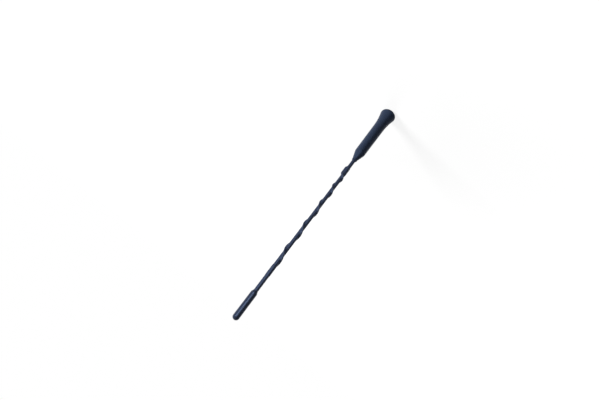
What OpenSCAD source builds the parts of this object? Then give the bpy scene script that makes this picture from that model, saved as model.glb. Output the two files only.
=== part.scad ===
// Screw-on whip aerial for a car roof, standing on the seat face of its flared foot.
// The mast axis is Z. The seat face is z = 0, the threaded hole opens downward, and the tip is up.
// The raised left-hand spiral on the mast is a cord wound on the rod, with a thin sleeve shrunk over it.

/* [Mast] */
// Length from the seat face to the top of the tip cap
total_length = 235; // [215:1:420]

/* [Boot] */
// Length of the moulded boot, from the seat face to the top of its collar
boot_length = 66.4; // [62:0.1:90]
// Largest diameter of the flared foot
flare_d = 14.8; // [13.6:0.1:18]
// Radius of the rolled lip round the foot
lip_r = 3.2; // [2:0.1:3.2]
// Height at which the foot starts to flare out
flare_start = 22.5; // [16:0.5:26]
// Grip diameter where the flare starts
grip_d_low = 10.2; // [9.8:0.1:11]
// Grip diameter just under the cone
grip_d_high = 9.6; // [9:0.1:9.8]
// Length of the cone between the grip and the collar
cone_length = 8.6; // [6:0.1:12]
// Radius of the round between the grip and the cone
cone_round = 4; // [1:0.5:6]
// Diameter of the collar round the mast
collar_d = 4.8; // [4.4:0.1:6]
// Height of the collar round the mast
collar_h = 1.4; // [1:0.1:3]
// Radius of the round on the collar's top edge
collar_round = 0.4; // [0.1:0.1:0.5]

/* [Ferrule] */
// Length of the metal ferrule inside the boot
ferrule_length = 46; // [42:0.5:50]
// Depth of the ferrule's end face inside the seat face
ferrule_recess = 0.3; // [0.1:0.1:1]
// Diameter of the fluted head
head_d = 7.6; // [7.2:0.1:8]
// Height of the fluted head
head_h = 6; // [4:0.5:8]
// Number of flutes round the head
flutes = 18; // [8:1:24]
// Radius of each flute
flute_r = 0.35; // [0.2:0.05:0.45]
// Diameter of the ferrule's shank
shank_d = 6.4; // [5.8:0.1:6.8]
// Diameter of the crimped neck
neck_d = 4.6; // [4.2:0.1:5.2]
// Length of the crimped neck
neck_h = 13; // [10:0.5:16]
// Diameter of the threaded hole, at the crests of an M5 thread
thread_bore_d = 4.2; // [3.3:0.1:4.2]
// Depth of the threaded hole
thread_depth = 10; // [8:0.5:12]
// Width of each ring groove in the shank
groove_w = 1.6; // [0.8:0.1:2]
// Depth of each ring groove in the shank
groove_depth = 0.5; // [0.2:0.05:0.6]
// Width of each crimp ring in the neck
crimp_w = 1.2; // [0.8:0.1:2]
// Depth of each crimp ring in the neck
crimp_depth = 0.25; // [0.1:0.05:0.3]

/* [Rod] */
// Diameter of the spring steel rod
rod_d = 2.5; // [2:0.1:2.6]
// Length of rod held in the ferrule
rod_grip = 21; // [16:0.5:24]

/* [Spiral] */
// Diameter of the wound cord
cord_d = 0.8; // [0.6:0.05:1]
// Height of the winding's first turn above the collar
spiral_above_boot = 18.1; // [15:0.1:24]
// Gap between the winding's last turn and the tip cap
spiral_below_cap = 22.7; // [16:0.1:30]
// Number of turns of the cord
spiral_turns = 4.7; // [3:0.1:9]
// How evenly the turns are spaced: 1 is an even pitch, less opens the pitch toward the tip
spiral_evenness = 0.78; // [0.7:0.01:1]
// Length of each straight tail of cord along the rod
tail_length = 7; // [5:0.1:12]
// Height of the lower binding's outside above the rod and the tail of cord under it
lower_binding_t = 0.35; // [0.15:0.05:0.5]
// Height of the upper binding's outside above the rod and the tail of cord under it
upper_binding_t = 0.25; // [0.15:0.05:0.5]

/* [Sleeve] */
// Wall of the sleeve over the winding
sleeve_wall = 0.37; // [0.25:0.01:0.4]
// Wall of the sleeve between the winding and the tip
sleeve_wall_tip = 0.44; // [0.25:0.01:0.5]
// Length of sleeve inside the boot
sleeve_in_boot = 9; // [5:0.5:14]

/* [Tip cap] */
// Length of the tip cap
cap_length = 25.3; // [20:0.1:40]
// Diameter of the tip cap
cap_d = 5.24; // [5:0.02:6]
// Length of the cap's sloping shoulder
shoulder_length = 1.9; // [1:0.1:4]
// Radius of the round between the shoulder and the cap's side
shoulder_round = 0.8; // [0.2:0.1:1]
// Thickness of the cap's wall at its mouth
mouth_wall = 0.12; // [0.1:0.02:0.3]
// Solid length of the cap above the rod's end
cap_solid = 9; // [5:0.5:12]

/* [Hidden] */
$fn = 96;

// Gap between parts that touch, so that no two solids share space
fit = 0.02;
// Gap inside what is wrapped round the rod, whose outline is made of short straight lines
wrap_fit = 0.05;
// Length by which a cut runs past the face that it opens
overshoot = 1;
// Chamfer at the mouth of the threaded hole
mouth_chamfer = 0.5;
// Angle between a drilled hole's conical end and its axis
drill_point = 59;
// Sides of a rod that cuts a flute
flute_sides = 24;
// Turn between two rings of the winding, in degrees
ring_turn = 22.5;

rod_r = rod_d / 2;
cord_r = cord_d / 2;
// The cord runs straight from ring to ring, and midway it comes nearest to the rod
cord_centre_r = (rod_r + fit + cord_r) / cos(ring_turn / 2);
head_r = head_d / 2;
shank_r = shank_d / 2;
neck_r = neck_d / 2;
thread_r = thread_bore_d / 2;
cap_r = cap_d / 2;
ferrule_top = ferrule_recess + ferrule_length;
head_top = ferrule_recess + head_h;
shank_top = ferrule_top - neck_h;
rod_low = ferrule_top - rod_grip;
rod_high = total_length - cap_solid;
cap_low = total_length - cap_length;
sleeve_r = rod_r + wrap_fit + sleeve_wall;
sleeve_tip_r = rod_r + wrap_fit + sleeve_wall_tip;
sleeve_low = boot_length - sleeve_in_boot;
spiral_low = boot_length + spiral_above_boot;
spiral_high = cap_low - spiral_below_cap;
spiral_rise = spiral_high - spiral_low;
tail_low = spiral_low - tail_length;
tail_high = spiral_high + tail_length;

// Length over which the sleeve eases down past the end of a tail or a binding
ease = 2.6;
// Steps in which the sleeve eases down
ease_steps = 6;
// Tightest pitch for which the cord's lean is worked out
least_pitch = 9;
// Sides of the cord
cord_sides = 8;
// Angle between the points of a binding's outline
binding_step = 5;
// Columns of the sleeve's skin, in degrees from the middle of the cord, close together over the cord
near_columns = [8, 16, 27, 40, 55, 72, 90, 108, 126, 144, 162];
far_columns = [for (i = [1 : len(near_columns)]) -near_columns[len(near_columns) - i]];
columns = concat([0], near_columns, [180], far_columns);

// Points of an arc round a centre, from one angle to another
function arc(centre, r, from, to, steps) = [for (i = [0 : steps])
    let (w = from + (to - from) * i / steps)
    [centre[0] + r * cos(w), centre[1] + r * sin(w)]];

// Arc of radius r that rounds the corner at a point between two others
function corner(before, at, after, r, steps) =
    let (u = (before - at) / norm(before - at),
         v = (after - at) / norm(after - at),
         half = acos(u * v) / 2,
         middle = (u + v) / norm(u + v),
         centre = at + middle * r / sin(half),
         side = sign(u[0] * v[1] - u[1] * v[0]),
         from = atan2(-middle[1], -middle[0]) + side * (90 - half))
    arc(centre, r, from, from - side * (180 - 2 * half), steps);

// Smooth step from 0 at height a to 1 at height b
function step_up(z, a, b) = let (t = min(1, max(0, (z - a) / (b - a)))) t * t * (3 - 2 * t);

// Height at which the cord has made n turns
function height_at(n) = spiral_low + spiral_rise * pow(n / spiral_turns, 1 / spiral_evenness);

// Share of the winding's rise that lies below height z
function share_at(z) = min(1, max(0, (z - spiral_low) / spiral_rise));

// Direction of the cord seen from above; it runs clockwise going up, a left-hand spiral
function cord_angle(z) = -360 * spiral_turns * pow(share_at(z), spiral_evenness);

// Pitch of the cord at height z
function pitch_at(z) = max(least_pitch,
    spiral_rise * pow(share_at(z), 1 - spiral_evenness) / (spiral_turns * spiral_evenness));

// Cosine of the cord's lean from the axis, 1 along the straight tails
function lay_at(z) = z <= spiral_low || z >= spiral_high ? 1
    : cos(atan(2 * PI * cord_centre_r / pitch_at(z)));

// Share of the cord's height that stands under the sleeve at height z
function cord_share(z) =
    step_up(z, tail_low - ease, tail_low) * (1 - step_up(z, tail_high, tail_high + ease));

// Thickness of binding under the sleeve at height z
function binding_at(z) =
    lower_binding_t * step_up(z, tail_low - ease, tail_low)
        * (1 - step_up(z, spiral_low, spiral_low + ease))
    + upper_binding_t * step_up(z, spiral_high - ease, spiral_high)
        * (1 - step_up(z, tail_high, tail_high + ease));

// Wall of the sleeve at height z
function wall_at(z) = sleeve_wall + (sleeve_wall_tip - sleeve_wall) * step_up(z, tail_high, tail_high + ease);

// Radius, at an angle off the cord, of a skin stretched round a rod of radius a and a cord of radius b
function tent_r(off, a, b) =
    let (d = abs(off),
         touch = acos((a - b) / cord_centre_r),
         edge = atan2(b * sin(touch), cord_centre_r + b * cos(touch)))
    d < edge ? cord_centre_r * cos(d) + sqrt(b * b - pow(cord_centre_r * sin(d), 2))
    : d < touch ? a / cos(touch - d)
    : a;

// Radius of a skin of the sleeve, with so much room between it and what it is stretched over
function skin_r(z, off, room) =
    let (a = rod_r + binding_at(z) + room,
         b = cord_r + binding_at(z) + room)
    a + (tent_r(off * lay_at(z), a, b) - a) * cord_share(z);

function skin_ring(z, room) = [for (off = columns)
    let (r = skin_r(z, off, room), w = cord_angle(z) + off)
    [r * cos(w), r * sin(w), z]];

function cord_centre(z) = [cord_centre_r * cos(cord_angle(z)), cord_centre_r * sin(cord_angle(z)), z];

// Ring of the cord at height z, square to the line between its neighbours' centres
function cord_ring(z, below, above) =
    let (path = cord_centre(above) - cord_centre(below),
         out = [cos(cord_angle(z)), sin(cord_angle(z)), 0],
         side = cross(path, out) / norm(cross(path, out)),
         up = cross(side, path) / norm(path))
    [for (j = [0 : cord_sides - 1])
        let (w = 360 * (j + 0.5) / cord_sides)
        cord_centre(z) + cord_r * (cos(w) * up + sin(w) * side)];

// Faces of a skin through rings of m points each, the first being point p, seen from outside it
function skin_faces(p, rings, m) = [for (k = [0 : rings - 2], j = [0 : m - 1])
    let (a = p + k * m + j,
         b = p + k * m + (j + 1) % m)
    for (face = [[a, b + m, b], [a, a + m, b + m]]) face];

function turned_over(faces) = [for (face = faces) [face[0], face[2], face[1]]];

// Faces between one ring and another of m points, of which the first are points p and q
function rim_faces(p, q, m) = [for (j = [0 : m - 1])
    let (next = (j + 1) % m)
    for (face = [[p + j, p + next, q + next], [p + j, q + next, q + j]]) face];

// Heights of the rings of the winding
winding_rings = [for (n = [0 : ring_turn / 360 : spiral_turns - ring_turn / 720]) height_at(n)];
cord_rings = concat([tail_low], winding_rings, [spiral_high, tail_high]);
// Heights of the sleeve's rings, close together where its skin changes
sleeve_rings = concat(
    [sleeve_low],
    [for (i = [0 : ease_steps]) tail_low - ease + ease * i / ease_steps],
    winding_rings,
    [spiral_high],
    [for (i = [0 : ease_steps]) tail_high + ease * i / ease_steps],
    [rod_high]);

// Half section of the boot's outside: rolled lip, concave flare, tapered grip, cone and collar
function boot_outline() =
    let (lip_x = flare_d / 2 - lip_r,
         grip_r = grip_d_low / 2,
         run = flare_start - lip_r,
         reach = grip_r - lip_x,
         flare_r = (reach * reach + run * run - lip_r * lip_r) / (2 * (lip_r - reach)),
         join = acos((flare_r + reach) / (flare_r + lip_r)),
         cone_top = [collar_d / 2, boot_length - collar_h],
         grip_low = [grip_r, flare_start],
         grip_high = [grip_d_high / 2, boot_length - collar_h - cone_length],
         collar_top = [collar_d / 2, boot_length])
    concat(
        [[0, 0]],
        arc([lip_x, lip_r], lip_r, -90, join, 14),
        arc([grip_r + flare_r, flare_start], flare_r, 180 + join, 180, 8),
        corner(grip_low, grip_high, cone_top, cone_round, 4),
        [cone_top],
        corner(cone_top, collar_top, [0, boot_length], collar_round, 3),
        [[0, boot_length]]);

// Half section of the ferrule's outside, larger all round by a gap
function ferrule_outline(gap) =
    let (shank = [for (i = [1 : 2]) head_top + (shank_top - head_top) * i / 3],
         neck = [for (i = [1 : 3]) shank_top + neck_h * i / 4])
    concat(
        [[0, ferrule_recess - gap], [head_r + gap, ferrule_recess - gap], [head_r + gap, head_top + gap]],
        [[shank_r + gap, head_top + gap]],
        [for (z = shank) each ring_groove(z, shank_r + gap, groove_depth, groove_w / 2 - gap)],
        [[shank_r + gap, shank_top + gap], [neck_r + gap, shank_top + gap]],
        [for (z = neck) each ring_groove(z, neck_r + gap, crimp_depth, crimp_w / 2 - gap)],
        [[neck_r + gap, ferrule_top + gap], [0, ferrule_top + gap]]);

// Points of a groove with sloping sides round height z, going up
function ring_groove(z, r, depth, half) = [
    [r, z - half],
    [r - depth, z - half + depth / 2],
    [r - depth, z + half - depth / 2],
    [r, z + half]];

// Half section of the tip cap's outside: sloping shoulder, straight side and round top
function cap_outline() =
    let (mouth = [sleeve_tip_r + fit + mouth_wall, cap_low],
         shoulder = [cap_r, cap_low + shoulder_length])
    concat(
        [[0, cap_low], mouth],
        corner(mouth, shoulder, [cap_r, total_length - cap_r], shoulder_round, 3),
        arc([0, total_length - cap_r], cap_r, 0, 90, 12));

// Outline of a skin round the rod and one straight cord
function tented_outline(room) = [for (off = [-180 + binding_step : binding_step : 180])
    tent_r(off, rod_r + room, cord_r + room) * [cos(off), sin(off)]];

module boot() {
    color([0.09, 0.11, 0.16])
    difference() {
        rotate_extrude() polygon(boot_outline());
        difference() {
            rotate_extrude() polygon(ferrule_outline(fit));
            head_flutes(flute_r - fit);
        }
        translate([0, 0, -ferrule_recess]) cylinder(r = head_r + fit, h = 2 * ferrule_recess);
        cylinder(r = rod_r + fit, h = boot_length + overshoot);
        translate([0, 0, sleeve_low - fit])
            cylinder(r = sleeve_r + fit, h = sleeve_in_boot + fit + overshoot);
    }
}

// Rods that cut the flutes of the ferrule's head, and that the boot's rubber fills
module head_flutes(r) {
    for (i = [0 : flutes - 1])
        rotate(360 * i / flutes) translate([head_r, 0, 0])
            cylinder(r = r, h = head_top + 2 * fit, $fn = flute_sides);
}

module ferrule() {
    color([0.72, 0.72, 0.7])
    difference() {
        rotate_extrude() polygon(ferrule_outline(0));
        head_flutes(flute_r);
        rotate_extrude() polygon(thread_hole_outline());
        translate([0, 0, rod_low - fit]) cylinder(r = rod_r + fit, h = rod_grip + fit + overshoot);
    }
}

// Half section of the threaded hole: chamfered mouth, straight wall and drilled end
function thread_hole_outline() =
    let (mouth = ferrule_recess + mouth_chamfer,
         end = ferrule_recess + thread_depth)
    [[0, 0],
     [thread_r + mouth, 0],
     [thread_r, mouth],
     [thread_r, end],
     [0, end + thread_r / tan(drill_point)]];

module rod() {
    color([0.6, 0.6, 0.62])
    translate([0, 0, rod_low]) cylinder(r = rod_r, h = rod_high - rod_low);
}

module spiral_cord() {
    rings = len(cord_rings);
    points = [for (k = [0 : rings - 1])
        each cord_ring(cord_rings[k],
            k == 0 ? tail_low - ease : cord_rings[k - 1],
            k == rings - 1 ? tail_high + ease : cord_rings[k + 1])];
    last = (rings - 1) * cord_sides;
    color([0.85, 0.83, 0.78])
    polyhedron(points, concat(
        skin_faces(0, rings, cord_sides),
        [[for (j = [0 : cord_sides - 1]) j]],
        [[for (j = [cord_sides - 1 : -1 : 0]) last + j]]));
}

module binding(low, high, t) {
    rotate(cord_angle((low + high) / 2))
    translate([0, 0, low + wrap_fit])
    linear_extrude(high - low - 2 * wrap_fit)
    difference() {
        polygon(tented_outline(t));
        polygon(tented_outline(wrap_fit));
    }
}

module lower_binding() {
    color([0.2, 0.2, 0.22]) binding(tail_low, spiral_low, lower_binding_t);
}

module upper_binding() {
    color([0.2, 0.2, 0.22]) binding(spiral_high, tail_high, upper_binding_t);
}

module sleeve() {
    m = len(columns);
    rings = len(sleeve_rings);
    inside = rings * m;
    outer = [for (z = sleeve_rings) each skin_ring(z, wrap_fit + wall_at(z))];
    inner = [for (z = sleeve_rings) each skin_ring(z, wrap_fit)];
    last = (rings - 1) * m;
    color([0.08, 0.1, 0.15])
    polyhedron(concat(outer, inner), concat(
        skin_faces(0, rings, m),
        turned_over(skin_faces(inside, rings, m)),
        rim_faces(0, inside, m),
        turned_over(rim_faces(last, inside + last, m))));
}

module tip_cap() {
    color([0.11, 0.13, 0.18])
    difference() {
        rotate_extrude() polygon(cap_outline());
        translate([0, 0, cap_low - overshoot])
            cylinder(r = sleeve_tip_r + fit, h = rod_high + fit - cap_low + overshoot);
    }
}

boot();
ferrule();
rod();
spiral_cord();
lower_binding();
upper_binding();
sleeve();
tip_cap();
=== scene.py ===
# Looks of the whip aerial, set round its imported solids: finer meshes of the same form, finishes,
# studio and camera. Sizes are in millimetres and angles in degrees, in the solids' own frame: Z runs
# up the mast, and the foot's seat face is z = 0. Meshes are scaled to metres as they are made.
import math

import bpy
import numpy as np
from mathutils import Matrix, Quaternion, Vector


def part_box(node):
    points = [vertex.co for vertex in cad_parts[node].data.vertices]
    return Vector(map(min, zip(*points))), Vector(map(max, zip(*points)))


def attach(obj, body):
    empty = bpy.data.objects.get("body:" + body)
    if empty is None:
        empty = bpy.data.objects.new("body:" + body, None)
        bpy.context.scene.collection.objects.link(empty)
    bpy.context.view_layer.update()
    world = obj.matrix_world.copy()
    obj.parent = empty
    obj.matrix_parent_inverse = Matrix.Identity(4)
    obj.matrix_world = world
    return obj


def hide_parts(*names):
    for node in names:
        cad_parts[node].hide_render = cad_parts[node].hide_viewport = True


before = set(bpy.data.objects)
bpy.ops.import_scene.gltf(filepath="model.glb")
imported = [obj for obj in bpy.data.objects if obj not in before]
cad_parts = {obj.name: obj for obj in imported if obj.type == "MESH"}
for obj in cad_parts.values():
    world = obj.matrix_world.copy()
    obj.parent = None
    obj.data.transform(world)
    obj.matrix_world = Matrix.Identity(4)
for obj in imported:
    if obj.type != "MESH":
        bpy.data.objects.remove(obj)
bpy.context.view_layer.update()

# Metres in a millimetre
MM = 0.001


def low_z(node):
    """Lowest point of a solid, in millimetres."""
    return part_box(node)[0].z / MM


def high_z(node):
    """Highest point of a solid, in millimetres."""
    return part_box(node)[1].z / MM


# Gap between pieces that touch, and gap inside what is wrapped round the rod
FIT = 0.02
WRAP_FIT = 0.05

# Heights that the solids give
TOP = high_z("tip_cap")
CAP_LOW = low_z("tip_cap")
BOOT_TOP = high_z("boot")
FERRULE_LOW = low_z("ferrule")
FERRULE_TOP = high_z("ferrule")
ROD_LOW = low_z("rod")
ROD_TOP = high_z("rod")
SLEEVE_LOW = low_z("sleeve")
TAIL_LOW = low_z("spiral_cord")
TAIL_TOP = high_z("spiral_cord")
SPIRAL_LOW = high_z("lower_binding") + WRAP_FIT
SPIRAL_TOP = low_z("upper_binding") - WRAP_FIT
SPIRAL_RISE = SPIRAL_TOP - SPIRAL_LOW

# Boot
FLARE_R = 7.4
LIP_R = 3.2
FLARE_START = 22.5
GRIP_R_LOW = 5.1
GRIP_R_HIGH = 4.8
CONE_LENGTH = 8.6
CONE_ROUND = 4
COLLAR_R = 2.4
COLLAR_H = 1.4
COLLAR_ROUND = 0.4
COLLAR_LOW = BOOT_TOP - COLLAR_H

# Ferrule
HEAD_R = 3.8
HEAD_H = 6
HEAD_EDGE = 0.08
FLUTES = 18
FLUTE_R = 0.35
SHANK_R = 3.2
GROOVES = 2
GROOVE_W = 1.6
GROOVE_DEPTH = 0.5
NECK_R = 2.3
NECK_H = 13
CRIMPS = 3
CRIMP_W = 1.2
CRIMP_DEPTH = 0.25
HEAD_TOP = FERRULE_LOW + HEAD_H
SHANK_TOP = FERRULE_TOP - NECK_H

# Threaded hole: its radius at the thread's crests, and the angle from the axis of its drilled end
THREAD_R = 2.1
THREAD_DEPTH = 10
MOUTH_CHAMFER = 0.5
DRILL_POINT = 59
HOLE_END = FERRULE_LOW + THREAD_DEPTH
# Thread: its pitch, the depth of its groove, how steep its flanks are and how flat its crests
THREAD_PITCH = 0.8
THREAD_CUT = 0.4
THREAD_FLANK = 1.3
THREAD_CREST = 0.2
# Distances under the hole's end at which the thread begins to fade out, and is gone
FADE_START = 1.6
FADE_END = 0.4

# Rod and spiral
ROD_R = 1.25
CORD_R = 0.4
SPIRAL_TURNS = 4.7
LOWER_BINDING_T = 0.35
UPPER_BINDING_T = 0.25
# How evenly the turns are spaced: 1 is an even pitch, less opens the pitch toward the tip
SPIRAL_EVENNESS = 0.78
# Tightest pitch for which the cord's lean is worked out
LEAST_PITCH = 9
# Turn between two rings of the cord's solid, which runs straight from ring to ring and so comes
# nearest to the rod midway
RING_TURN = 22.5
CORD_CENTRE_R = (ROD_R + FIT + CORD_R) / math.cos(math.radians(RING_TURN / 2))

# Sleeve
SLEEVE_WALL = 0.37
SLEEVE_WALL_TIP = 0.44
SLEEVE_R = ROD_R + WRAP_FIT + SLEEVE_WALL
SLEEVE_TIP_R = ROD_R + WRAP_FIT + SLEEVE_WALL_TIP
# Length over which the sleeve eases down past the end of a tail or a binding
EASE = 2.6
# Steps up or down the mast over which the skin is averaged, each with its weight
SOFTENING = ((-0.6, 0.06), (-0.3, 0.24), (0, 0.4), (0.3, 0.24), (0.6, 0.06))

# Tip cap
CAP_R = 2.62
SHOULDER_LENGTH = 1.9
SHOULDER_ROUND = 0.8
MOUTH_WALL = 0.12

# Mould lines on boot and cap, and the length over which they start and end
MOULD_LINE_W = 0.1
BOOT_LINE_H = 0.05
CAP_LINE_H = 0.025
LINE_EASE = 1

# Steps in the round stretches of the outlines, and the longest stretch without a row
LIP_STEPS = 48
FLARE_STEPS = 40
CONE_STEPS = 16
COLLAR_STEPS = 8
SHOULDER_STEPS = 10
DOME_STEPS = 30
LONGEST_STEP = 1
# Angle up the dome of its last row under the point on top
DOME_END = 88

# Columns round the ferrule and the boot, in shares of half a flute and of the space between two
FLUTE_COLUMNS = (-1.001, -0.97, -0.85, -0.6, -0.3, 0, 0.3, 0.6, 0.85, 0.97, 1.001)
BETWEEN_COLUMNS = (0.25, 0.5, 0.75)
# Columns beside a mould line, in steps from its middle, and the steps that other columns keep away
LINE_COLUMNS = (-6, -4, -3, -2, -1, 0, 1, 2, 3, 4, 6)
LINE_CLEAR = 7
BOOT_LINE_STEP = 0.45
CAP_LINE_STEP = 0.8
CAP_COLUMNS = 96
# Columns on one side of the sleeve, in degrees from the middle of the cord, close together over it
SLEEVE_COLUMNS = (3, 6, 9, 12, 15, 18, 22, 26, 30, 34, 38, 43, 48, 54, 60, 67, 75, 84, 94,
                  105, 117, 130, 145, 162)

# Rows in each turn of the thread
THREAD_ROWS = 8
# Degrees of the cord and millimetres of mast between the rows of the sleeve's outside and of its inside
OUTSIDE_ROWS = (5, 1)
INSIDE_ROWS = (20, 4)
# Least rows in each stretch past the winding, and the extra rows just under the winding's start
LEAST_ROWS = 6
START_ROWS = 8
START_STEP = 0.08

# Angles from which an edge shows as sharp
SHARP_EDGE = 35
SLEEVE_SHARP_EDGE = 60

# Finishes: the tints of the dark plastics' shine, the values of noise between which a colour or a
# roughness changes, and how uneven turned rings are
SHEEN_BLUE = (0.45, 0.61, 1)
DEEP_BLUE = (0.37, 0.54, 1)
COLOUR_SPAN = (0.35, 0.65)
ROUGHNESS_SPAN = (0.3, 0.7)
RING_WAVER = 0.6

# Camera
CAMERA_AT = Vector((0, -291.39, 260.2))
CAMERA_AIM = Vector((16.22, 4.63, 127.06))
CAMERA_ROLL = -141.67
CAMERA_LENS = 23.2
CAMERA_NEAR = 10

# Studio: the floor's own glow is a little under white near the foot, and white from SHADOW_FAR on
MAST_MIDDLE = Vector((0, 0, TOP / 2))
WHITE = (1, 1, 1, 1)
WORLD_LIGHT = 0.02
FLOOR_SIZE = 4000
FLOOR_COLOUR = (0.16, 0.16, 0.16)
FLOOR_ROUGHNESS = 0.9
FLOOR_SPECULAR = 0.1
FLOOR_GLOW = 0.86
SHADOW_NEAR = 60
SHADOW_FAR = 400


# Outlines and meshes


def step_up(z, low, high):
    """Smooth step from 0 at one height to 1 at another."""
    t = np.clip((z - low) / (high - low), 0, 1)
    return t * t * (3 - 2 * t)


def arc(centre, r, start, end, steps):
    """Points of an arc round a centre, from one angle to another."""
    angles = np.radians(np.linspace(start, end, steps + 1))
    return [(centre[0] + r * math.cos(angle), centre[1] + r * math.sin(angle)) for angle in angles]


def corner(before, at, after, r, steps):
    """Arc of radius r that rounds the corner at a point between two others."""
    at = Vector(at)
    back = (Vector(before) - at).normalized()
    ahead = (Vector(after) - at).normalized()
    half = math.degrees(math.acos(back.dot(ahead))) / 2
    middle = (back + ahead).normalized()
    centre = at + middle * r / math.sin(math.radians(half))
    side = math.copysign(1, back.x * ahead.y - back.y * ahead.x)
    start = math.degrees(math.atan2(-middle.y, -middle.x)) + side * (90 - half)
    return arc(centre, r, start, start - side * (180 - 2 * half), steps)


def spread(outline):
    """The outline with points added, so that no stretch of it is too long for one step."""
    points = [outline[0]]
    for before, after in zip(outline, outline[1:]):
        parts = max(1, math.ceil(math.dist(before, after) / LONGEST_STEP))
        for i in range(1, parts + 1):
            share = i / parts
            points.append(tuple(a + (b - a) * share for a, b in zip(before, after)))
    return points


def turned(name, rows, columns):
    """A closed mesh through rows of points round the axis. A row is (radii, height), or (radii, height,
    turn) where it is turned round, and radii is one radius or one for each column. A first or last row
    of radius 0 closes the form at a point, and with neither the last row joins the first."""
    count = len(columns)
    vertices, rings = [], []
    for radii, height, *turn in rows:
        start = len(vertices)
        if np.isscalar(radii) and radii == 0:
            vertices.append((0, 0, height))
            rings.append([start] * count)
            continue
        angles = np.radians(np.asarray(columns) + sum(turn))
        r = np.broadcast_to(radii, angles.shape)
        vertices.extend(np.stack([r * np.cos(angles), r * np.sin(angles), np.full(count, height)], axis=1))
        rings.append(range(start, start + count))
    pairs = list(zip(rings, rings[1:]))
    # Neither the first nor the last ring is one point, so they join
    if all(ring[0] != ring[-1] for ring in (rings[0], rings[-1])):
        pairs.append((rings[-1], rings[0]))
    faces = []
    for low, high in pairs:
        for j in range(count):
            k = (j + 1) % count
            quad = (low[j], low[k], high[k], high[j])
            # Beside a point two corners are the same one, and a triangle is left
            faces.append(tuple(dict.fromkeys(quad)))
    mesh = bpy.data.meshes.new(name)
    mesh.from_pydata([Vector(v) * MM for v in vertices], [], faces)
    mesh.update()
    return mesh


def placed(name, data):
    """A new object in the scene."""
    obj = bpy.data.objects.new(name, data)
    bpy.context.scene.collection.objects.link(obj)
    return obj


def piece(name, mesh, node, material, sharp=SHARP_EDGE):
    """An object of the aerial that stands for a solid, smooth except at its sharp edges."""
    mesh.materials.append(material)
    mesh.shade_smooth()
    mesh.set_sharp_from_angle(angle=math.radians(sharp))
    obj = placed(name, mesh)
    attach(obj, "root")
    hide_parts(node)


# Boot and ferrule


def boot_outline():
    """Half section of the boot's outside, from the foot's seat face up to the collar."""
    lip_x = FLARE_R - LIP_R
    reach = GRIP_R_LOW - lip_x
    run = FLARE_START - LIP_R
    # The flare's arc leaves the grip upright and meets the lip's arc smoothly
    flare_r = (reach * reach + run * run - LIP_R * LIP_R) / (2 * (LIP_R - reach))
    join = math.degrees(math.acos((flare_r + reach) / (flare_r + LIP_R)))
    grip_low = (GRIP_R_LOW, FLARE_START)
    grip_high = (GRIP_R_HIGH, COLLAR_LOW - CONE_LENGTH)
    cone_top = (COLLAR_R, COLLAR_LOW)
    collar_top = (COLLAR_R, BOOT_TOP)
    lip = arc((lip_x, LIP_R), LIP_R, -90, join, LIP_STEPS)
    flare = arc((GRIP_R_LOW + flare_r, FLARE_START), flare_r, 180 + join, 180, FLARE_STEPS)
    shoulder = corner(grip_low, grip_high, cone_top, CONE_ROUND, CONE_STEPS)
    collar = corner(cone_top, collar_top, (0, BOOT_TOP), COLLAR_ROUND, COLLAR_STEPS)
    return lip + flare[1:] + shoulder + [cone_top] + collar


def ring_groove(z, r, depth, half):
    """Points of a groove with sloping sides round height z, going up."""
    slope = depth / 2
    return [(r, z - half), (r - depth, z - half + slope), (r - depth, z + half - slope), (r, z + half)]


def ferrule_sides(gap):
    """Half section of the ferrule's outside above its head, larger all round by a gap, going up."""
    shank_r = SHANK_R + gap
    neck_r = NECK_R + gap
    points = [(shank_r, HEAD_TOP + gap)]
    for i in range(1, GROOVES + 1):
        z = HEAD_TOP + (SHANK_TOP - HEAD_TOP) * i / (GROOVES + 1)
        points += ring_groove(z, shank_r, GROOVE_DEPTH, GROOVE_W / 2 - gap)
    points += [(shank_r, SHANK_TOP + gap), (neck_r, SHANK_TOP + gap)]
    for i in range(1, CRIMPS + 1):
        z = SHANK_TOP + NECK_H * i / (CRIMPS + 1)
        points += ring_groove(z, neck_r, CRIMP_DEPTH, CRIMP_W / 2 - gap)
    return points + [(neck_r, FERRULE_TOP + gap)]


def fluted(columns, flute_r, gap):
    """Radii round the ferrule's fluted head, or round the rubber that fills its flutes."""
    step = 360 / FLUTES
    off = np.radians((np.asarray(columns) + step / 2) % step - step / 2)
    across = HEAD_R * np.sin(off)
    inside = np.abs(across) < flute_r
    depth = np.sqrt(np.where(inside, flute_r * flute_r - across * across, 0))
    return np.where(inside, HEAD_R * np.cos(off) - depth, HEAD_R + gap)


def head_columns():
    """Angles of the columns round the fluted head, close together in each flute."""
    step = 360 / FLUTES
    edge = math.degrees(math.asin(FLUTE_R / HEAD_R))
    near = [edge * share for share in FLUTE_COLUMNS]
    far = [edge + (step - 2 * edge) * share for share in BETWEEN_COLUMNS]
    return sorted((step * i + angle) % 360 for i in range(FLUTES) for angle in near + far)


def off_line(columns):
    """Angle from the nearer mould line to each column. The lines are on the +X and -X sides."""
    return (np.asarray(columns) + 90) % 180 - 90


def line_columns(columns, step):
    """The columns with more of them beside the mould lines, so many degrees apart."""
    near = [side + i * step for side in (0, 180) for i in LINE_COLUMNS]
    kept = [angle for angle in columns if abs(off_line(angle)) > LINE_CLEAR * step]
    return sorted(angle % 360 for angle in kept + near)


def mould_line(columns, r, height):
    """Height of the fine ridge that the two halves of a mould leave along a piece."""
    off = np.radians(off_line(columns))
    return height * np.exp(-(r * off / MOULD_LINE_W) ** 2)


def with_mould_line(outline, columns, height, low, high):
    """Rows of an outline with a mould line between two heights, held inside the foot's radius."""
    rows = []
    for r, z in outline:
        share = float(step_up(z, low, low + LINE_EASE) * (1 - step_up(z, high - LINE_EASE, high)))
        rows.append((np.minimum(r + mould_line(columns, r, height * share), FLARE_R), z))
    return rows


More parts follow.
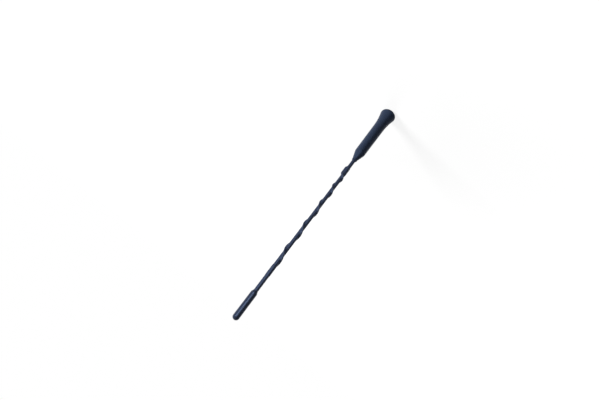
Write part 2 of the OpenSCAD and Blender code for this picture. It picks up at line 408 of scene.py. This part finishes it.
def boot_mesh():
    """The boot: its outside going up, then the holes for sleeve, rod and ferrule going down."""
    columns = line_columns(head_columns(), BOOT_LINE_STEP)
    sleeve_hole = SLEEVE_R + FIT
    rod_hole = ROD_R + FIT
    in_flutes = fluted(columns, FLUTE_R - FIT, FIT)
    mouth = HEAD_R + FIT
    rows = with_mould_line(spread(boot_outline()), columns, BOOT_LINE_H, 0, COLLAR_LOW)
    rows += [(sleeve_hole, BOOT_TOP), (sleeve_hole, SLEEVE_LOW - FIT)]
    rows += [(rod_hole, SLEEVE_LOW - FIT), (rod_hole, FERRULE_TOP + FIT)]
    rows += reversed(ferrule_sides(FIT))
    rows += [(in_flutes, HEAD_TOP + FIT), (in_flutes, FERRULE_LOW)]
    rows += [(mouth, FERRULE_LOW - FIT), (mouth, 0)]
    return turned("boot_shell", rows, columns)


def thread_cut(columns, z):
    """Depth of the thread's groove in the wall of the hole. The thread is a right-hand one."""
    turn = z / THREAD_PITCH - np.asarray(columns) / 360
    wave = 1 - np.abs(2 * (turn % 1) - 1)
    left = 1 - step_up(z, HOLE_END - FADE_START, HOLE_END - FADE_END)
    return THREAD_CUT * np.clip(THREAD_FLANK * wave - THREAD_CREST, 0, 1) * left


def ferrule_mesh():
    """The ferrule: its threaded hole going down, its outside going up, then the hole for the rod."""
    columns = head_columns()
    rows = [(0, HOLE_END + THREAD_R / math.tan(math.radians(DRILL_POINT))), (THREAD_R, HOLE_END)]
    steps = round(THREAD_DEPTH / THREAD_PITCH * THREAD_ROWS)
    for i in range(1, steps + 1):
        z = HOLE_END - THREAD_DEPTH * i / steps
        chamfer = THREAD_R + max(0, FERRULE_LOW + MOUTH_CHAMFER - z)
        rows.append((np.maximum(THREAD_R + thread_cut(columns, z), chamfer), z))
    head = fluted(columns, FLUTE_R, 0)
    rows += [(head - HEAD_EDGE, FERRULE_LOW), (head, FERRULE_LOW + HEAD_EDGE)]
    rows += [(head, HEAD_TOP - HEAD_EDGE), (head - HEAD_EDGE, HEAD_TOP)]
    rows += ferrule_sides(0)
    bore = ROD_R + FIT
    rows += [(bore, FERRULE_TOP), (bore, ROD_LOW - FIT), (0, ROD_LOW - FIT)]
    return turned("ferrule_metal", rows, columns)


# Spiral and sleeve


def height_at(n):
    """Height at which the cord has made n turns."""
    return SPIRAL_LOW + SPIRAL_RISE * (n / SPIRAL_TURNS) ** (1 / SPIRAL_EVENNESS)


def share_at(z):
    """Share of the winding's rise that lies below height z."""
    return min(1, max(0, (z - SPIRAL_LOW) / SPIRAL_RISE))


def cord_angle(z):
    """Direction of the cord seen from above; it runs clockwise going up, a left-hand spiral."""
    return -360 * SPIRAL_TURNS * share_at(z) ** SPIRAL_EVENNESS


def lay_at(z):
    """Cosine of the cord's lean from the axis, 1 along the straight tails."""
    if not SPIRAL_LOW < z < SPIRAL_TOP:
        return 1
    even_pitch = SPIRAL_RISE / (SPIRAL_TURNS * SPIRAL_EVENNESS)
    pitch = max(LEAST_PITCH, even_pitch * share_at(z) ** (1 - SPIRAL_EVENNESS))
    return math.cos(math.atan(2 * math.pi * CORD_CENTRE_R / pitch))


def raised(z, low, high):
    """1 between two heights, easing to 0 past them."""
    return float(step_up(z, low - EASE, low) * (1 - step_up(z, high, high + EASE)))


def skin_radii(z, offs, room):
    """Radii, at angles off the cord's middle, of a skin stretched over rod, cord and bindings with room
    between. It lies round over the cord, straight on each flank of it, and round over the rest."""
    binding = LOWER_BINDING_T * raised(z, TAIL_LOW, SPIRAL_LOW)
    binding += UPPER_BINDING_T * raised(z, SPIRAL_TOP, TAIL_TOP)
    rod_skin = ROD_R + binding + room
    cord_skin = CORD_R + binding + room
    off = np.radians(np.abs(offs) * lay_at(z))
    # Angles at which the straight flank meets the skin over the rod and the skin over the cord
    meets_rod = math.acos((rod_skin - cord_skin) / CORD_CENTRE_R)
    meets_cord = math.atan2(cord_skin * math.sin(meets_rod),
                            CORD_CENTRE_R + cord_skin * math.cos(meets_rod))
    rise = np.sqrt(np.maximum(0, cord_skin * cord_skin - (CORD_CENTRE_R * np.sin(off)) ** 2))
    over = CORD_CENTRE_R * np.cos(off) + rise
    flank = rod_skin / np.cos(np.maximum(0, meets_rod - off))
    tent = np.where(off < meets_cord, over, np.where(off < meets_rod, flank, rod_skin))
    return rod_skin + (tent - rod_skin) * raised(z, TAIL_LOW, TAIL_TOP)


def softened_radii(z, offs, room):
    """Radii of the skin, averaged over a short stretch of the mast, which softens its creases."""
    total = 0
    for away, weight in SOFTENING:
        turned_by = cord_angle(z) - cord_angle(z + away)
        total += weight * skin_radii(z + away, (offs + turned_by + 180) % 360 - 180, room)
    return total


def sleeve_heights(turn, step):
    """Heights of the sleeve's rows: so many degrees of the cord apart, or so many millimetres, and close
    together under the place where the winding starts."""
    count = math.ceil(360 * SPIRAL_TURNS / turn)
    heights = {height_at(SPIRAL_TURNS * i / count) for i in range(count + 1)}
    below = [SLEEVE_LOW, TAIL_LOW - EASE, TAIL_LOW, SPIRAL_LOW]
    above = [SPIRAL_TOP, TAIL_TOP, TAIL_TOP + EASE, ROD_TOP]
    for low, high in [*zip(below, below[1:]), *zip(above, above[1:])]:
        parts = math.ceil((high - low) / min(step, (high - low) / LEAST_ROWS))
        heights.update(low + (high - low) * i / parts for i in range(parts + 1))
    heights.update(SPIRAL_LOW - START_STEP * i for i in range(1, START_ROWS + 1))
    return sorted(heights)


def sleeve_mesh():
    """The sleeve: its outside going up and its inside going down, with columns that follow the cord."""
    offs = np.array([0, *SLEEVE_COLUMNS, 180, *(-angle for angle in SLEEVE_COLUMNS[::-1])])
    rows = []
    for z in sleeve_heights(*OUTSIDE_ROWS):
        toward_tip = float(step_up(z, TAIL_TOP, TAIL_TOP + EASE))
        wall = SLEEVE_WALL + (SLEEVE_WALL_TIP - SLEEVE_WALL) * toward_tip
        rows.append((softened_radii(z, offs, WRAP_FIT + wall), z, cord_angle(z)))
    for z in sleeve_heights(*INSIDE_ROWS)[::-1]:
        rows.append((skin_radii(z, offs, WRAP_FIT), z, cord_angle(z)))
    return turned("sleeve_skin", rows, offs)


# Tip cap


def cap_mesh():
    """The tip cap: its bore going down, then its outside going up to the dome."""
    columns = line_columns(np.linspace(0, 360, CAP_COLUMNS, endpoint=False), CAP_LINE_STEP)
    bore = SLEEVE_TIP_R + FIT
    mouth = (bore + MOUTH_WALL, CAP_LOW)
    shoulder = (CAP_R, CAP_LOW + SHOULDER_LENGTH)
    side_top = (CAP_R, TOP - CAP_R)
    outside = [mouth] + corner(mouth, shoulder, side_top, SHOULDER_ROUND, SHOULDER_STEPS)
    outside += arc((0, TOP - CAP_R), CAP_R, 0, DOME_END, DOME_STEPS)
    rows = [(0, ROD_TOP + FIT), (bore, ROD_TOP + FIT), (bore, CAP_LOW)]
    rows += with_mould_line(spread(outside), columns, CAP_LINE_H, CAP_LOW, TOP) + [(0, TOP)]
    return turned("cap_shell", rows, columns)


# Finishes


def fed_node(tree, kind, source, socket):
    """A new node of a kind, with a source linked to one of its sockets."""
    node = tree.nodes.new(kind)
    tree.links.new(source, node.inputs[socket])
    return node


def mapped(tree, source, source_span, span):
    """A value that runs evenly over a span while its source runs over its own."""
    node = fed_node(tree, "ShaderNodeMapRange", source, "Value")
    for socket, value in zip(("From Min", "From Max", "To Min", "To Max"), (*source_span, *span)):
        node.inputs[socket].default_value = value
    return node.outputs["Result"]


def joined(tree, operation, one, other):
    """The result of a math node with two sources."""
    node = fed_node(tree, "ShaderNodeMath", one, 0)
    tree.links.new(other, node.inputs[1])
    node.operation = operation
    return node.outputs["Value"]


class Finish:
    """A node-based finish, built up step by step. Sizes and depths are in millimetres."""

    def __init__(self, name, colour, roughness, metallic=0, specular=0.5, tint=(1, 1, 1)):
        self.material = bpy.data.materials.new(name)
        self.material.use_nodes = True
        self.tree = self.material.node_tree
        self.shader = self.tree.nodes["Principled BSDF"]
        self.place = self.tree.nodes.new("ShaderNodeTexCoord").outputs["Object"]
        self.relief = None
        self.shader.inputs["Base Color"].default_value = (*colour, 1)
        self.shader.inputs["Roughness"].default_value = roughness
        self.shader.inputs["Metallic"].default_value = metallic
        self.shader.inputs["Specular IOR Level"].default_value = specular
        self.shader.inputs["Specular Tint"].default_value = (*tint, 1)

    def noise(self, size, detail=3, stretch=1):
        """Noise with features of a size, drawn out so many times along the mast."""
        squeeze = fed_node(self.tree, "ShaderNodeMapping", self.place, "Vector")
        squeeze.inputs["Scale"].default_value = (1, 1, 1 / stretch)
        noise = fed_node(self.tree, "ShaderNodeTexNoise", squeeze.outputs["Vector"], "Vector")
        noise.inputs["Scale"].default_value = 1 / (size * MM)
        noise.inputs["Detail"].default_value = detail
        return noise.outputs["Fac"]

    def rings(self, size):
        """Fine rings round the mast's axis, as a lathe leaves them."""
        wave = fed_node(self.tree, "ShaderNodeTexWave", self.place, "Vector")
        wave.wave_type = "RINGS"
        wave.rings_direction = "Z"
        wave.inputs["Scale"].default_value = 1 / (size * MM)
        wave.inputs["Distortion"].default_value = RING_WAVER
        return wave.outputs["Fac"]

    def vary_colour(self, source, one, other):
        """The base colour runs from one colour to another with a texture."""
        ramp = fed_node(self.tree, "ShaderNodeValToRGB", source, "Fac")
        for element, position, colour in zip(ramp.color_ramp.elements, COLOUR_SPAN, (one, other)):
            element.position = position
            element.color = (*colour, 1)
        self.tree.links.new(ramp.outputs["Color"], self.shader.inputs["Base Color"])

    def vary_roughness(self, source, low, high):
        """The roughness runs between two values with a texture."""
        roughness = mapped(self.tree, source, ROUGHNESS_SPAN, (low, high))
        self.tree.links.new(roughness, self.shader.inputs["Roughness"])

    def emboss(self, source, depth):
        """Relief of a depth, on top of any relief that is there."""
        bump = fed_node(self.tree, "ShaderNodeBump", source, "Height")
        bump.inputs["Distance"].default_value = depth * MM
        if self.relief is not None:
            self.tree.links.new(self.relief, bump.inputs["Normal"])
        self.relief = bump.outputs["Normal"]
        self.tree.links.new(self.relief, self.shader.inputs["Normal"])


def moulded_rubber():
    """Dark blue-grey rubber with the fine grain of its mould."""
    finish = Finish("boot_rubber", (0.033, 0.048, 0.087), roughness=0.42, specular=0.12, tint=DEEP_BLUE)
    finish.vary_colour(finish.noise(size=6), (0.032, 0.046, 0.084), (0.034, 0.05, 0.09))
    finish.vary_roughness(finish.noise(size=1.5), low=0.39, high=0.47)
    finish.emboss(finish.noise(size=0.16, detail=4), depth=0.012)
    return finish.material


def shrunk_sleeve():
    """Thin plastic with faint ripples drawn out along the mast, and a finer grain on them."""
    finish = Finish("sleeve_plastic", (0.026, 0.036, 0.069), roughness=0.45, specular=0.28, tint=SHEEN_BLUE)
    finish.vary_colour(finish.noise(size=3, stretch=4), (0.025, 0.034, 0.066), (0.027, 0.038, 0.072))
    finish.vary_roughness(finish.noise(size=0.8, stretch=5), low=0.4, high=0.52)
    finish.emboss(finish.noise(size=0.9, stretch=8), depth=0.02)
    finish.emboss(finish.noise(size=0.12), depth=0.005)
    return finish.material


def moulded_cap():
    """Smoother and glossier plastic than the boot's rubber."""
    finish = Finish("cap_plastic", (0.022, 0.03, 0.057), roughness=0.24, specular=0.26, tint=SHEEN_BLUE)
    finish.vary_colour(finish.noise(size=5), (0.021, 0.029, 0.055), (0.023, 0.031, 0.059))
    finish.vary_roughness(finish.noise(size=1), low=0.22, high=0.27)
    finish.emboss(finish.noise(size=0.2, detail=4), depth=0.006)
    return finish.material


def nickel_plate():
    """Warm, bright plating over the rings that a lathe left."""
    finish = Finish("ferrule_metal", (0.66, 0.63, 0.57), roughness=0.28, metallic=1)
    finish.vary_colour(finish.noise(size=1.5), (0.62, 0.59, 0.53), (0.7, 0.67, 0.61))
    finish.vary_roughness(finish.noise(size=0.5), low=0.22, high=0.36)
    finish.emboss(finish.rings(size=0.09), depth=0.004)
    return finish.material


def drawn_steel():
    """Steel with the long fine scratches of a drawn wire."""
    finish = Finish("rod_steel", (0.55, 0.55, 0.56), roughness=0.3, metallic=1)
    finish.vary_roughness(finish.noise(size=0.15, stretch=40), low=0.24, high=0.4)
    finish.emboss(finish.noise(size=0.06, stretch=60), depth=0.004)
    return finish.material


def twisted_fibre():
    """Pale matt fibre with a rough, uneven face."""
    finish = Finish("cord_fibre", (0.78, 0.75, 0.68), roughness=0.85)
    finish.vary_colour(finish.noise(size=0.2, stretch=3), (0.7, 0.67, 0.6), (0.84, 0.81, 0.74))
    finish.emboss(finish.noise(size=0.1, stretch=6), depth=0.03)
    return finish.material


def binding_tape():
    """Dark matt tape with a slightly lumpy face."""
    finish = Finish("binding_tape", (0.035, 0.035, 0.04), roughness=0.6)
    finish.vary_roughness(finish.noise(size=0.4), low=0.5, high=0.7)
    finish.emboss(finish.noise(size=0.3), depth=0.02)
    return finish.material


# Studio and camera


def toward(azimuth, elevation, distance):
    """Place, in metres, at a distance from the mast's middle. Azimuth 0 is -Y and 90 is +X."""
    turn = math.radians(azimuth)
    rise = math.radians(elevation)
    out = Vector((math.sin(turn) * math.cos(rise), -math.cos(turn) * math.cos(rise), math.sin(rise)))
    return (MAST_MIDDLE + out * distance) * MM


def softbox(name, azimuth, elevation, distance, width, height, radiance, shine):
    """A rectangular lamp that faces the mast's middle, with the radiance that its surface shows. It
    either gives shine, so that glossy surfaces mirror it, or lights matt surfaces."""
    data = bpy.data.lights.new(name, "AREA")
    data.shape = "RECTANGLE"
    data.size = width * MM
    data.size_y = height * MM
    data.energy = radiance * math.pi * data.size * data.size_y
    lamp = placed(name, data)
    lamp.location = toward(azimuth, elevation, distance)
    lamp.rotation_mode = "QUATERNION"
    lamp.rotation_quaternion = (MAST_MIDDLE * MM - lamp.location).to_track_quat("-Z", "Y")
    lamp.visible_camera = False
    lamp.visible_diffuse = not shine
    lamp.visible_glossy = shine


def seen_share(tree):
    """1 for what the camera sees, straight, in a reflection or through glass, and 0 for light."""
    path = tree.nodes.new("ShaderNodeLightPath")
    share = path.outputs["Is Camera Ray"]
    for ray in ("Is Glossy Ray", "Is Transmission Ray"):
        share = joined(tree, "MAXIMUM", share, path.outputs[ray])
    return share


def make_world():
    """White behind the object, with a little light of its own."""
    world = bpy.data.worlds.new("studio")
    bpy.context.scene.world = world
    world.use_nodes = True
    tree = world.node_tree
    background = tree.nodes["Background"]
    background.inputs["Color"].default_value = WHITE
    strength = mapped(tree, seen_share(tree), (0, 1), (WORLD_LIGHT, 1))
    tree.links.new(strength, background.inputs["Strength"])


def make_floor():
    """A pale floor that shows the object's shadow near its foot and runs into the white behind."""
    card = Finish("floor_card", FLOOR_COLOUR, FLOOR_ROUGHNESS, specular=FLOOR_SPECULAR)
    card.shader.inputs["Emission Color"].default_value = WHITE
    away = fed_node(card.tree, "ShaderNodeVectorMath", card.place, 0)
    away.operation = "LENGTH"
    reach = (SHADOW_NEAR * MM, SHADOW_FAR * MM)
    glow = mapped(card.tree, away.outputs["Value"], reach, (FLOOR_GLOW, 1))
    seen = joined(card.tree, "MULTIPLY", glow, seen_share(card.tree))
    card.tree.links.new(seen, card.shader.inputs["Emission Strength"])
    edge = FLOOR_SIZE / 2 * MM
    corners = [(-edge, -edge, 0), (edge, -edge, 0), (edge, edge, 0), (-edge, edge, 0)]
    mesh = bpy.data.meshes.new("floor")
    mesh.from_pydata(corners, [], [(0, 1, 2, 3)])
    mesh.materials.append(card.material)
    floor = placed("floor", mesh)


def make_camera():
    """The photograph's view: from above on the -Y side, rolled so that the tip is at the lower left."""
    data = bpy.data.cameras.new("camera")
    data.lens = CAMERA_LENS
    data.clip_start = CAMERA_NEAR * MM
    camera = placed("camera", data)
    upright = (CAMERA_AIM - CAMERA_AT).to_track_quat("-Z", "Y")
    camera.location = CAMERA_AT * MM
    camera.rotation_mode = "QUATERNION"
    camera.rotation_quaternion = upright @ Quaternion((0, 0, 1), math.radians(CAMERA_ROLL))
    bpy.context.scene.camera = camera


# The scene
make_camera()
make_world()
make_floor()
softbox("key", azimuth=72, elevation=27, distance=470, width=150, height=150,
        radiance=44, shine=False)
softbox("panel", azimuth=20, elevation=5, distance=520, width=420, height=260,
        radiance=8, shine=True)
softbox("back_fill", azimuth=195, elevation=30, distance=700, width=400, height=400,
        radiance=5, shine=False)

piece("boot_shell", boot_mesh(), "boot", moulded_rubber())
piece("ferrule_metal", ferrule_mesh(), "ferrule", nickel_plate())
piece("sleeve_skin", sleeve_mesh(), "sleeve", shrunk_sleeve(), sharp=SLEEVE_SHARP_EDGE)
piece("cap_shell", cap_mesh(), "tip_cap", moulded_cap())

# The rod, the cord and the bindings keep their solids, with better finishes
tape = binding_tape()
kept = {"rod": drawn_steel(), "spiral_cord": twisted_fibre(), "lower_binding": tape, "upper_binding": tape}
for node, material in kept.items():
    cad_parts[node].data.materials[0] = material

bpy.context.scene.view_settings.view_transform = "Standard"
